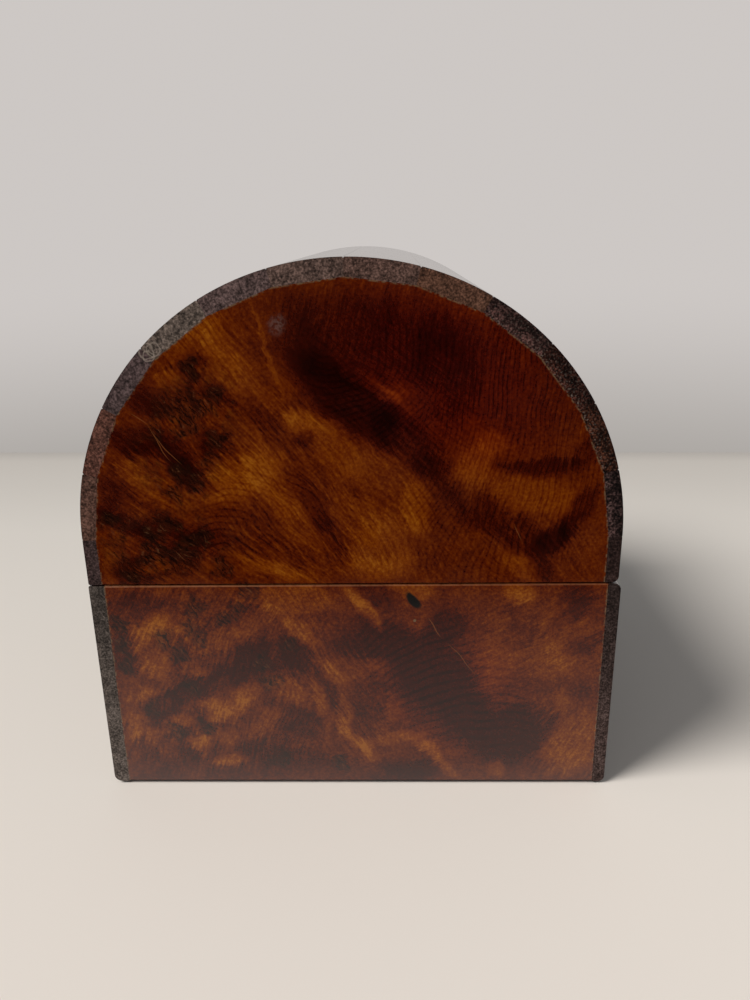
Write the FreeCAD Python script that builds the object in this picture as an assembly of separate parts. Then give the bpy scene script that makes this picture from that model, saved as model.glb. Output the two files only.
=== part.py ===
import FreeCAD, Part

import math
import os

from FreeCAD import Vector

# Keepsake box with a domed tambour lid, in millimetres.
# X runs across the arched end, from the opening edge (-X) to the hinged edge (+X).
# Y runs along the slats and Z points up. The origin is under the middle of the box,
# on the surface that it stands on.

# Overall sizes
overall_width = 120.0
overall_length = 120.0
base_height = 53.3
rim_gap = 0.3
lid_front_inset = 0.1
lid_back_inset = 0.7
lid_rail_height = 10.8

# Boards
end_thickness = 7.0
front_board_thickness = 3.5
back_board_thickness = 2.9
floor_thickness = 5.0

# Tambour
slat_count = 12
slat_thickness = 3.0
crown_extra = 0.8
slat_arris = 0.25
canvas_thickness = 0.6
canvas_end_gap = 0.3

# Cloth
baize_thickness = 0.6
baize_inset = 1.0
lining_thickness = 1.0
lining_gap = 0.3

# Worn and rounded edges
front_foot_round = 1.8
back_foot_round = 1.4
back_rim_round = 1.5
front_rim_round = 0.35
base_rim_chamfer = 0.35
lid_rim_chamfer = 0.18
end_foot_chamfer = 0.4

# Hinge battens inside the back edge
batten_width = 8.0
batten_height = 9.0

# Butt hinges, let into the rims with the barrel in the groove between the back arrises
hinge_end_inset = 26.0
hinge_length = 18.0
hinge_axis_depth = 1.2
leaf_width = 9.0
leaf_thickness = 0.7
leaf_corner = 0.8
knuckle_radius = 1.2
knuckle_count = 5
knuckle_end_gap = 0.08
pin_radius = 0.6
pin_clearance = 0.05
recess_clearance = 0.12

# Countersunk screws, with heads that fill the thickness of a leaf
screw_shank_radius = 0.7
screw_length = 6.5
screw_point_length = 1.5
screw_slot_width = 0.35
screw_slot_depth = 0.3
screw_spacing = 10.8
screw_from_axis = 5.7
screw_clearance = 0.03
screw_head_radius = screw_shank_radius + leaf_thickness

# Places that follow from the sizes
half_length = overall_length / 2
base_front = -overall_width / 2
base_back = overall_width / 2
inner_front = base_front + front_board_thickness
inner_back = base_back - back_board_thickness
lid_front = base_front + lid_front_inset
lid_back = base_back - lid_back_inset
lid_centre = (lid_front + lid_back) / 2
lid_radius = (lid_back - lid_front) / 2
lid_rim = base_height + rim_gap
spring_line = lid_rim + lid_rail_height
inner_length = half_length - end_thickness
hinge_x = base_back - hinge_axis_depth
hinge_z = base_height + rim_gap / 2
slat_pitch = math.pi / slat_count


def block(x_range, y_range, z_range):
    """A rectangular board between two corners."""
    low = Vector(x_range[0], y_range[0], z_range[0])
    high = Vector(x_range[1], y_range[1], z_range[1])
    size = high - low
    return Part.makeBox(size.x, size.y, size.z, low)


def prism(edges, y_range):
    """A closed outline drawn at Y = 0 in the XZ plane, drawn out along Y."""
    face = Part.Face(Part.Wire(edges))
    face.translate(Vector(0, y_range[0], 0))
    return face.extrude(Vector(0, y_range[1] - y_range[0], 0))


def polygon(points):
    """The straight edges through the points, closed."""
    return [Part.makeLine(a, b) for a, b in zip(points, points[1:] + points[:1])]


def long_edge(shape, x, z):
    """The edges that run along Y at a given X and Z."""
    found = []
    for edge in shape.Edges:
        ends = [vertex.Point for vertex in edge.Vertexes]
        if len(ends) == 2 and all(abs(p.x - x) < 1e-4 and abs(p.z - z) < 1e-4 for p in ends):
            found.append(edge)
    return found


def cross_edge(shape, y, z):
    """The edges that run along X at a given Y and Z."""
    found = []
    for edge in shape.Edges:
        ends = [vertex.Point for vertex in edge.Vertexes]
        if len(ends) == 2 and all(abs(p.y - y) < 1e-4 and abs(p.z - z) < 1e-4 for p in ends):
            found.append(edge)
    return found


def rod(radius, y_range):
    """A round rod on the hinge axis."""
    start = Vector(hinge_x, y_range[0], hinge_z)
    return Part.makeCylinder(radius, y_range[1] - y_range[0], start, Vector(0, 1, 0))


# Tambour lid


def joint_angle(index):
    """The angle of a joint between slats, from the front springing (0) over to the back."""
    return math.pi - index * slat_pitch


def arch_point(angle, radius):
    return Vector(lid_centre + radius * math.cos(angle), 0, spring_line + radius * math.sin(angle))


def seat_radius(angle):
    """How far the slats' flat backs meet from the arch centre; the shell thickens to its crown."""
    return lid_radius - slat_thickness - crown_extra * math.sin(angle)


def seat_points(inset=0.0):
    """The corners of the arch that the slats seat on, front to back."""
    step_in = inset / math.cos(slat_pitch / 2)
    angles = [joint_angle(i) for i in range(slat_count + 1)]
    return [arch_point(a, seat_radius(a) - step_in) for a in angles]


def lid_slat(index):
    """One slat: a flat back, two bevelled sides that meet its neighbours, and a round face."""
    start, end = joint_angle(index), joint_angle(index + 1)
    turn = slat_arris / lid_radius
    low_seat, high_seat = arch_point(start, seat_radius(start)), arch_point(end, seat_radius(end))
    low_side = arch_point(start, lid_radius - slat_arris)
    high_side = arch_point(end, lid_radius - slat_arris)
    low_face, high_face = arch_point(start - turn, lid_radius), arch_point(end + turn, lid_radius)
    crown = arch_point((start + end) / 2, lid_radius)
    edges = [
        Part.makeLine(low_seat, low_side),
        Part.makeLine(low_side, low_face),
        Part.Arc(low_face, crown, high_face).toShape(),
        Part.makeLine(high_face, high_side),
        Part.makeLine(high_side, high_seat),
        Part.makeLine(high_seat, low_seat),
    ]
    return prism(edges, (-half_length, half_length))


def lid_end(outer_y, inner_y):
    """The arched end board, planed to one flat for each slat."""
    seat = seat_points()
    feet = [Vector(seat[-1].x, 0, lid_rim), Vector(seat[0].x, 0, lid_rim)]
    panel = prism(polygon(seat + feet), sorted((outer_y, inner_y)))
    return panel.makeChamfer(lid_rim_chamfer, cross_edge(panel, outer_y, lid_rim))


def lid_front_rail():
    seat = seat_points()[0]
    rail = block((lid_front, seat.x), (-half_length, half_length), (lid_rim, spring_line))
    return rail.makeFillet(front_rim_round, long_edge(rail, lid_front, lid_rim))


def lid_back_rail():
    seat = seat_points()[-1]
    rail = block((seat.x, lid_back), (-half_length, half_length), (lid_rim, spring_line))
    rail = rail.makeFillet(back_rim_round, long_edge(rail, lid_back, lid_rim))
    return rail.cut(hinge_recesses(lid_rim, lid_rim + leaf_thickness))


def lid_hinge_batten():
    back = seat_points()[-1].x
    batten = block((back - batten_width, back), (-inner_length, inner_length),
                   (lid_rim, lid_rim + batten_height))
    batten = batten.cut(hinge_recesses(lid_rim, lid_rim + leaf_thickness))
    return batten.cut(pilot_holes(lid_rim, 1))


def lid_canvas_backing():
    """The canvas that the slats are glued to: it turns at every joint between the end boards."""
    outside = seat_points()
    inside = seat_points(canvas_thickness)
    ribbon = outside + inside[::-1]
    reach = inner_length - canvas_end_gap
    return prism(polygon(ribbon), (-reach, reach))


# Base


def base_end(outer_y, inner_y):
    """The end board below the saw cut, between the two side boards."""
    panel = block((inner_front, inner_back), sorted((outer_y, inner_y)), (baize_thickness, base_height))
    panel = panel.makeChamfer(base_rim_chamfer, cross_edge(panel, outer_y, base_height))
    return panel.makeChamfer(end_foot_chamfer, cross_edge(panel, outer_y, baize_thickness))


def base_front_board():
    board = block((base_front, inner_front), (-half_length, half_length), (baize_thickness, base_height))
    board = board.makeFillet(front_foot_round, long_edge(board, base_front, baize_thickness))
    return board.makeFillet(front_rim_round, long_edge(board, base_front, base_height))


def base_back_board():
    board = block((inner_back, base_back), (-half_length, half_length), (baize_thickness, base_height))
    board = board.makeFillet(back_foot_round, long_edge(board, base_back, baize_thickness))
    board = board.makeFillet(back_rim_round, long_edge(board, base_back, base_height))
    return board.cut(hinge_recesses(base_height - leaf_thickness, base_height))


def base_floor_board():
    floor = (baize_thickness, baize_thickness + floor_thickness)
    return block((inner_front, inner_back), (-inner_length, inner_length), floor)


def base_hinge_batten():
    batten = block((inner_back - batten_width, inner_back), (-inner_length, inner_length),
                   (base_height - batten_height, base_height))
    batten = batten.cut(hinge_recesses(base_height - leaf_thickness, base_height))
    return batten.cut(pilot_holes(base_height, -1))


def base_floor_lining():
    """The felt laid on the floor board, a little clear of the walls."""
    low = baize_thickness + floor_thickness
    reach = inner_length - lining_gap
    return block((inner_front + lining_gap, inner_back - lining_gap), (-reach, reach),
                 (low, low + lining_thickness))


def base_foot_baize():
    """The baize that the box stands on, set in from its outline."""
    across = overall_width / 2 - baize_inset
    along = half_length - baize_inset
    return block((-across, across), (-along, along), (0, baize_thickness))


# Hinges


def hinge_places():
    """The middles of the two hinges along the box, each as far in from its end."""
    far_hinge = half_length - hinge_end_inset
    return [-far_hinge, far_hinge]


def hinge_recesses(low, high):
    """What the two hinges take out of a rim: a shallow bed for the leaf and a round one for the barrel."""
    cuts = []
    reach = hinge_length / 2 + recess_clearance
    for y in hinge_places():
        along = (y - reach, y + reach)
        cuts.append(block((hinge_x - leaf_width - recess_clearance, hinge_x), along, (low, high)))
        cuts.append(rod(knuckle_radius + recess_clearance, along))
    return Part.makeCompound(cuts)


def knuckle_range(y, index):
    pitch = hinge_length / knuckle_count
    start = y - hinge_length / 2 + index * pitch
    return (start + knuckle_end_gap / 2, start + pitch - knuckle_end_gap / 2)


def hinge_leaf(y, low, first_knuckle):
    """A flat leaf with every second knuckle of the barrel, bored for the pin."""
    high = low + leaf_thickness
    ends = (y - hinge_length / 2, y + hinge_length / 2)
    leaf = block((hinge_x - leaf_width, hinge_x), ends, (low, high))
    inner = [e for e in leaf.Edges if all(abs(v.Point.x - (hinge_x - leaf_width)) < 1e-4 for v in e.Vertexes)]
    upright = [e for e in inner if abs(e.Vertexes[0].Point.z - e.Vertexes[1].Point.z) > leaf_thickness / 2]
    leaf = leaf.makeFillet(leaf_corner, upright)
    for index in range(knuckle_count):
        span = knuckle_range(y, index)
        if index % 2 == first_knuckle:
            leaf = leaf.fuse(rod(knuckle_radius, span))
        else:
            room = (span[0] - knuckle_end_gap, span[1] + knuckle_end_gap)
            leaf = leaf.cut(rod(knuckle_radius + recess_clearance, room))
    return leaf.cut(rod(pin_radius + pin_clearance, ends)).removeSplitter()


def base_leaf(y):
    leaf = hinge_leaf(y, base_height - leaf_thickness, 0)
    return leaf.cut(countersinks(leaf_screw_places(y), base_height, -1))


def lid_leaf(y):
    leaf = hinge_leaf(y, lid_rim, 1)
    return leaf.cut(countersinks(leaf_screw_places(y), lid_rim, 1))


def hinge_pin(y):
    return rod(pin_radius, (y - hinge_length / 2, y + hinge_length / 2))


def leaf_screw_places(y):
    return [y - screw_spacing / 2, y + screw_spacing / 2]


def screw_places():
    return [place for y in hinge_places() for place in leaf_screw_places(y)]


def wood_screw(x, y, face_z, into):
    """A countersunk screw, its slotted head level with face_z and its point up (1) or down (-1)."""
    shoulder = screw_length - screw_point_length
    outline = [Vector(0, 0, 0), Vector(screw_head_radius, 0, 0),
               Vector(screw_shank_radius, 0, -leaf_thickness),
               Vector(screw_shank_radius, 0, -shoulder), Vector(0, 0, -screw_length)]
    screw = Part.Face(Part.Wire(polygon(outline))).revolve(Vector(0, 0, 0), Vector(0, 0, 1), 360)
    slot = Part.makeBox(2 * screw_head_radius, screw_slot_width, screw_slot_depth,
                        Vector(-screw_head_radius, -screw_slot_width / 2, -screw_slot_depth))
    screw = screw.cut(slot)
    if into > 0:
        screw.rotate(Vector(0, 0, 0), Vector(1, 0, 0), 180)
    screw.translate(Vector(x, y, face_z))
    return screw


def base_screw(y):
    return wood_screw(hinge_x - screw_from_axis, y, base_height, -1)


def lid_screw(y):
    return wood_screw(hinge_x - screw_from_axis, y, lid_rim, 1)


def countersinks(places, face_z, into):
    """What the screw heads take out of a leaf, widest at face_z."""
    wide = screw_head_radius + screw_clearance
    narrow = screw_shank_radius + screw_clearance
    way = Vector(0, 0, into)
    cones = [Part.makeCone(wide, narrow, leaf_thickness, Vector(hinge_x - screw_from_axis, y, face_z), way)
             for y in places]
    return Part.makeCompound(cones)


def pilot_holes(face_z, into):
    """The drilled holes that the screws hold in."""
    radius = screw_shank_radius + screw_clearance
    depth = screw_length + screw_clearance
    way = Vector(0, 0, into)
    holes = [Part.makeCylinder(radius, depth, Vector(hinge_x - screw_from_axis, y, face_z), way)
             for y in screw_places()]
    return Part.makeCompound(holes)


def all_parts():
    """Every piece of the box, by its name."""
    near, far = -half_length, half_length
    parts = {
        "base_end_near": base_end(near, -inner_length),
        "base_end_far": base_end(far, inner_length),
        "base_front_board": base_front_board(),
        "base_back_board": base_back_board(),
        "base_floor_board": base_floor_board(),
        "base_hinge_batten": base_hinge_batten(),
        "base_floor_lining": base_floor_lining(),
        "base_foot_baize": base_foot_baize(),
        "lid_end_near": lid_end(near, -inner_length),
        "lid_end_far": lid_end(far, inner_length),
        "lid_front_rail": lid_front_rail(),
        "lid_back_rail": lid_back_rail(),
        "lid_hinge_batten": lid_hinge_batten(),
        "lid_canvas_backing": lid_canvas_backing(),
        "hinge_base_screws": Part.makeCompound([base_screw(p) for p in screw_places()]),
        "hinge_lid_screws": Part.makeCompound([lid_screw(p) for p in screw_places()]),
    }
    for index in range(slat_count):
        parts["lid_slat_%02d" % (index + 1)] = lid_slat(index)
    for place, y in zip(("near", "far"), hinge_places()):
        parts["hinge_base_leaf_" + place] = base_leaf(y)
        parts["hinge_lid_leaf_" + place] = lid_leaf(y)
        parts["hinge_pin_" + place] = hinge_pin(y)
    return parts


def main():
    os.makedirs("parts", exist_ok=True)
    for name, shape in all_parts().items():
        shape.exportStep(os.path.join("parts", name + ".step"))
        print(name, len(shape.Solids), "solid,", round(shape.Volume, 1), "mm3")


main()
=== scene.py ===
# %% [markdown]
# A keepsake box with a round tambour lid
#
# The box is about 120 mm wide. Two glossy burl boards close its ends, and thin strips of dark wood are
# glued over their edges: flat boards round the base and twelve bevelled slats over the arch of the lid.
# The CAD model already holds every piece at its real size, so this file dresses the pieces and never
# moves them. It makes the camera, the light, the woods, the brass and the cloth, one step at a time.

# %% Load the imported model
import math
from collections import namedtuple

import bmesh
import bpy
from mathutils import Matrix, Vector, noise


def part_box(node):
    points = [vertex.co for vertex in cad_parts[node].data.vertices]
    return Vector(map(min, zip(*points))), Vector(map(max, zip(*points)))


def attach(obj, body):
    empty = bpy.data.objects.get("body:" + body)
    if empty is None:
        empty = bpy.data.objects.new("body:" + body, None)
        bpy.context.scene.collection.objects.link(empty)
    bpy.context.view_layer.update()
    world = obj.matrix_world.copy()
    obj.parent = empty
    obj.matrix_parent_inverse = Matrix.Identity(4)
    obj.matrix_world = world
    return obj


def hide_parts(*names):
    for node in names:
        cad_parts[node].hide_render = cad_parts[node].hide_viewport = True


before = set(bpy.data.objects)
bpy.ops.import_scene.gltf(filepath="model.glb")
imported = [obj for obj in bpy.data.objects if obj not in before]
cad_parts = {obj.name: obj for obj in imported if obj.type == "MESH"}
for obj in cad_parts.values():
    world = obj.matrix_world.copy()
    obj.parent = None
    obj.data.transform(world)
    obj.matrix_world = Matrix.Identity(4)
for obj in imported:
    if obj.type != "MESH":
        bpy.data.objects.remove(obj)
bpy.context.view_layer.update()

MM = 0.001

# %% [markdown]
# The camera
#
# The box is seen from very close by through a wide lens, tipped down by 18.5 degrees and almost square to
# its end. Such a view makes the upright sides lean towards each other, so the same distance and lens are
# needed here: a longer lens from further away would show a different box. The camera is built from its
# three tilts, because they are what was measured.

# %% Camera
camera_place = Vector((9.2, -224.4, 128.45)) * MM
camera_pitch_down = math.radians(18.51)
camera_turn_left = math.radians(1.37)
camera_roll = math.radians(-0.87)
focal_pixels = 800
picture_height = 1000
sensor_mm = 36

camera_data = bpy.data.cameras.new("camera")
camera_data.sensor_width = sensor_mm
camera_data.lens = sensor_mm * focal_pixels / picture_height
camera_data.clip_start = 10 * MM
camera = bpy.data.objects.new("camera", camera_data)
bpy.context.collection.objects.link(camera)
look = Matrix.Rotation(camera_turn_left, 4, "Z") @ Matrix.Rotation(math.pi / 2 - camera_pitch_down, 4, "X")
camera.matrix_world = Matrix.Translation(camera_place) @ look @ Matrix.Rotation(camera_roll, 4, "Z")
bpy.context.scene.camera = camera
bpy.context.scene.view_settings.view_transform = "Standard"
print("lens, mm:", round(camera_data.lens, 1))

# %% [markdown]
# A short way to write shader nodes
#
# Every finish below is a network of shader nodes. Written out node by node, a network is long and hard to
# read, so a class gives the steps short names. Each call adds one node and returns its output, and an
# input can be a number, a colour or another call's output. Places are in millimetres, so that every size
# in a finish is a size on the wood.

# %% One node
def add_node(tree, kind, inputs, **settings):
    """A new node, with a value or another node's output on each of its inputs."""
    node = tree.nodes.new(kind)
    for name, value in settings.items():
        setattr(node, name, value)
    for name, value in inputs.items():
        if isinstance(value, bpy.types.NodeSocket):
            tree.links.new(value, node.inputs[name])
        else:
            node.inputs[name].default_value = value
    return node


# %% A material's recipe
class Recipe:
    """The nodes of one material."""

    def __init__(self, name):
        self.material = bpy.data.materials.new(name)
        self.material.use_nodes = True
        self.tree = self.material.node_tree
        self.tree.nodes.clear()
        place = self.add("ShaderNodeTexCoord", {}).outputs["Object"]
        self.mm = self.vector("SCALE", place, scale=1 / MM)
        self.x, self.y, self.z = self.add("ShaderNodeSeparateXYZ", {"Vector": self.mm}).outputs

    def add(self, kind, inputs, **settings):
        return add_node(self.tree, kind, inputs, **settings)

    def math(self, operation, a, b=0.0, c=0.0):
        return self.add("ShaderNodeMath", {0: a, 1: b, 2: c}, operation=operation).outputs[0]

    def times(self, a, b):
        return self.math("MULTIPLY", a, b)

    def plus(self, a, b):
        return self.math("ADD", a, b)

    def minus(self, a, b):
        return self.math("SUBTRACT", a, b)

    def vector(self, operation, a, b=(0, 0, 0), scale=1.0):
        node = self.add("ShaderNodeVectorMath", {0: a, 1: b, 3: scale}, operation=operation)
        return node.outputs["Value" if operation == "LENGTH" else "Vector"]

    def together(self, x, y, z):
        return self.add("ShaderNodeCombineXYZ", {"X": x, "Y": y, "Z": z}).outputs[0]

    def rise(self, value, low, high, start=0.0, end=1.0):
        """Goes smoothly from start to end as value goes from low to high."""
        inputs = {"Value": value, "From Min": low, "From Max": high, "To Min": start, "To Max": end}
        return self.add("ShaderNodeMapRange", inputs, interpolation_type="SMOOTHSTEP").outputs[0]

    def between(self, amount, a, b):
        """The number that is amount of the way from a to b."""
        return self.add("ShaderNodeMix", {0: amount, 2: a, 3: b}).outputs[0]

    def noise(self, vector, size, detail=2.0, roughness=0.5, output="Fac"):
        """Cloudy noise from 0 to 1 whose lumps are about size across, in millimetres."""
        inputs = {"Vector": vector, "Scale": 1 / size, "Detail": detail, "Roughness": roughness}
        return self.add("ShaderNodeTexNoise", inputs).outputs[output]

    def drift(self, vector, size, reach):
        """A move across the face by up to about reach, which changes over about size."""
        colours = self.noise(vector, size, output="Color")
        centred = self.vector("SUBTRACT", colours, (0.5, 0.5, 0.5))
        return self.vector("MULTIPLY", centred, (2 * reach, 0, 2 * reach))

    def turned(self, vector, centre=(0, 0, 0), tilt=0.0, scale=(1, 1, 1)):
        """The point as seen from a patch at centre whose long axis is tilted up from +X, in degrees."""
        turn = (0, -math.radians(tilt), 0)
        inputs = {"Vector": vector, "Location": centre, "Rotation": turn, "Scale": scale}
        return self.add("ShaderNodeMapping", inputs, vector_type="TEXTURE").outputs[0]

    def spot(self, vector, x, z, reach, width, tilt=0.0, amount=1.0, core=0.25):
        """A soft oval: amount over the inner core share of its radius, and fading to nothing at its edge."""
        seen = self.turned(vector, (x, 0, z), tilt, (reach, 1, width))
        inside = self.add("ShaderNodeTexGradient", {"Vector": seen}, gradient_type="SPHERICAL").outputs[1]
        return self.rise(inside, 0.0, 1 - core, 0.0, amount)

    def colours(self, value, stops):
        """Blends through the stops, each (place, colour)."""
        node = self.add("ShaderNodeValToRGB", {"Fac": value})
        while len(node.color_ramp.elements) < len(stops):
            node.color_ramp.elements.new(0.5)
        for element, (place, colour) in zip(node.color_ramp.elements, stops):
            element.position = place
            element.color = (*colour, 1)
        return node.outputs[0]

    def mix(self, amount, a, b, blend="MIX"):
        a, b = ((*v, 1) if isinstance(v, tuple) else v for v in (a, b))
        node = self.add("ShaderNodeMix", {0: amount, 6: a, 7: b}, data_type="RGBA", blend_type=blend)
        return node.outputs[2]

    def toned(self, colour, amount):
        """The colour, amount times as bright."""
        return self.mix(1.0, colour, self.together(amount, amount, amount), "MULTIPLY")

    def bump(self, height, distance_mm, strength=1.0):
        inputs = {"Height": height, "Distance": distance_mm * MM, "Strength": strength}
        return self.add("ShaderNodeBump", inputs).outputs[0]

    def finish(self, **inputs):
        """Ends the recipe in one Principled shader, with its sockets written in lower case."""
        names = {name.replace("_", " ").title().replace("Ior", "IOR"): v for name, v in inputs.items()}
        shader = self.add("ShaderNodeBsdfPrincipled", names)
        self.add("ShaderNodeOutputMaterial", {"Surface": shader.outputs[0]})
        print(self.material.name, "nodes:", len(self.tree.nodes))
        return self.material


# %% [markdown]
# The floor and the backdrop
#
# The box stands on a pale floor in front of a slightly darker backdrop. The floor is a sheet that ends
# where the backdrop starts, and it turns from a warm near tone to a greyer, darker far one that is
# darkest at the backdrop's edge: painted shade. The backdrop needs no mesh: it is the colour of the world
# beyond the floor's edge, so nothing stands in the way of a view from behind, and it is painted darker
# towards its foot as shade. What the camera and the varnish see of the world is the backdrop, and what
# lights the box is a dimmer sky.
#
# The varnish mirrors the floor in front of the box as a pale haze. On the real box the haze is strongest
# at the foot, a little stronger on the left, and fades upwards to the split. A point higher up mirrors the
# floor further from the box, so for mirror-like rays alone the floor is painted darker the further it is,
# and lighter on the left: painted shade and light that only the varnish shows.

# %% Floor
floor_near_colour = (0.80, 0.745, 0.69)
# painted shade: the far floor darker and greyer, darkest at the backdrop's edge
floor_far_shade_tones = [(0.00, (0.43, 0.405, 0.38)), (0.14, (0.535, 0.505, 0.47)), (1.00, (0.64, 0.61, 0.57))]
floor_far_depth = 140
floor_turn = (-160, 200)
floor_reach = 6.0
floor_edge = 0.251
floor_edge_slope = -0.033
card_y = -0.176
near_end_y = -60
reflected_shade_tones = (1.12, 0.10)
reflected_shade_left = 1.3
reflected_shade_left_range = (-80, 10)


def sheet_mesh(name, corners):
    mesh = bpy.data.meshes.new(name)
    mesh.from_pydata(corners, [], [tuple(range(len(corners)))])
    sheet = bpy.data.objects.new(name, mesh)
    bpy.context.collection.objects.link(sheet)
    return sheet


def floor_paint():
    recipe = Recipe("floor")
    edge = recipe.math("MULTIPLY_ADD", recipe.x, floor_edge_slope, floor_edge / MM)
    from_edge = recipe.math("DIVIDE", recipe.minus(edge, recipe.y), floor_far_depth)
    shaded_far_colour = recipe.colours(from_edge, floor_far_shade_tones)
    colour = recipe.mix(recipe.rise(recipe.y, *floor_turn), floor_near_colour, shaded_far_colour)
    # painted shade on the floor for mirror-like rays: darker towards the card, lighter on the left
    to_card = recipe.math("DIVIDE", recipe.minus(near_end_y, recipe.y), near_end_y - card_y / MM)
    reflected_shade = recipe.between(to_card, *reflected_shade_tones)
    reflected_shade = recipe.times(reflected_shade, recipe.rise(recipe.x, *reflected_shade_left_range, reflected_shade_left, 1.0))
    is_mirrored = recipe.add("ShaderNodeLightPath", {}).outputs["Is Glossy Ray"]
    seen_colour = recipe.mix(is_mirrored, colour, recipe.toned(colour, reflected_shade))
    return recipe.finish(base_color=seen_colour, roughness=0.7, specular_ior_level=0.1)


far_left = floor_edge - floor_edge_slope * floor_reach
far_right = floor_edge + floor_edge_slope * floor_reach
floor = sheet_mesh("floor", [(-floor_reach, -floor_reach, 0), (floor_reach, -floor_reach, 0),
                             (floor_reach, far_right, 0), (-floor_reach, far_left, 0)])
floor.data.materials.append(floor_paint())
print("the floor ends at y, mm:", round(floor_edge / MM))

# %% Backdrop and sky
backdrop_top = (0.61, 0.575, 0.555, 1)
# painted shade: the backdrop darker towards its foot
backdrop_shaded_foot = (0.378, 0.356, 0.333, 1)
backdrop_shade_fade = (-0.32, -0.05)
sky_colour = (0.97, 0.98, 1.0, 1)
sky_strength = 0.25

world = bpy.data.worlds.new("backdrop and sky")
world.use_nodes = True
world_tree = world.node_tree
sky = world_tree.nodes["Background"]
sky.inputs["Color"].default_value = sky_colour
sky.inputs["Strength"].default_value = sky_strength


def world_node(kind, inputs, **settings):
    return add_node(world_tree, kind, inputs, **settings).outputs


direction = world_node("ShaderNodeTexCoord", {})["Generated"]
height = world_node("ShaderNodeSeparateXYZ", {"Vector": direction})["Z"]
fade = world_node("ShaderNodeMapRange", {"Value": height, "From Min": backdrop_shade_fade[0],
                                         "From Max": backdrop_shade_fade[1]}, interpolation_type="SMOOTHSTEP")[0]
tone = world_node("ShaderNodeMix", {0: fade, 6: backdrop_shaded_foot, 7: backdrop_top}, data_type="RGBA")[2]
backdrop = world_node("ShaderNodeBackground", {"Color": tone})[0]
rays = world_node("ShaderNodeLightPath", {})
shiny = world_node("ShaderNodeMath", {0: rays["Is Glossy Ray"], 1: rays["Is Transmission Ray"]},
                   operation="MAXIMUM")[0]
seen = world_node("ShaderNodeMath", {0: rays["Is Camera Ray"], 1: shiny}, operation="MAXIMUM")[0]
either = world_node("ShaderNodeMixShader", {0: seen, 1: sky.outputs[0], 2: backdrop})[0]
world_tree.links.new(either, world_tree.nodes["World Output"].inputs[0])
bpy.context.scene.world = world
print("sky strength:", sky_strength)

# %% [markdown]
# Light
#
# The shadow falls to the right and behind the box with a wide soft edge, so the light comes from the
# front left and above through something large. A sun lamp with a wide angle gives that softness, and it
# lights the floor evenly however far the floor goes, which a lamp nearby wouldn't. Varnish shows its
# depth only where it mirrors something dark, so a black card stands in front of the box as in a studio.
# Only mirror-like rays see the card, and its foot leaves a strip of floor for the base to mirror.

# %% Key light
key_from = Vector((-0.85, -0.38, 1.0))
key_strength = 3.1
key_angle = math.radians(26)
key_colour = (1.0, 0.97, 0.93)

key_data = bpy.data.lights.new("key", "SUN")
key_data.energy = key_strength
key_data.angle = key_angle
key_data.color = key_colour
key = bpy.data.objects.new("key", key_data)
key.rotation_mode = "QUATERNION"
key.rotation_quaternion = (-key_from).to_track_quat("-Z", "Y")
bpy.context.collection.objects.link(key)
print("key light, degrees across:", round(math.degrees(key_angle)))

# %% Black card
card_half_width = 0.45
card_height = 0.6
card_black = (0.001, 0.001, 0.001, 1)

card = sheet_mesh("black_card", [(-card_half_width, card_y, 0), (card_half_width, card_y, 0),
                                 (card_half_width, card_y, card_height),
                                 (-card_half_width, card_y, card_height)])
card.visible_camera = False
card.visible_diffuse = False
card.visible_shadow = False
card_paint = Recipe("black card").finish(base_color=card_black, roughness=1.0, specular_ior_level=0.0)
card.data.materials.append(card_paint)

# %% [markdown]
# Burl: how the figure is built
#
# Burl has no straight grain. Its growth layers are crumpled, so a sawn face shows dark and bright clouds,
# bundles of fine curved lines that are the cut layers, and small round eyes where buds once grew. The
# near face is copied cloud by cloud: each cloud is a soft oval patch with a place, a size and a tilt in
# millimetres on the face. Noise then crumples the patches' outlines. A painted picture would be another
# way, but these patches stay sharp at any distance, and the lid's and the base's patches are set out on
# the same face, so the figure runs on across the saw cut as it does in the real board.

# %% Patches
Patch = namedtuple("Patch", "name x z reach width tilt tone")

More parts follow.
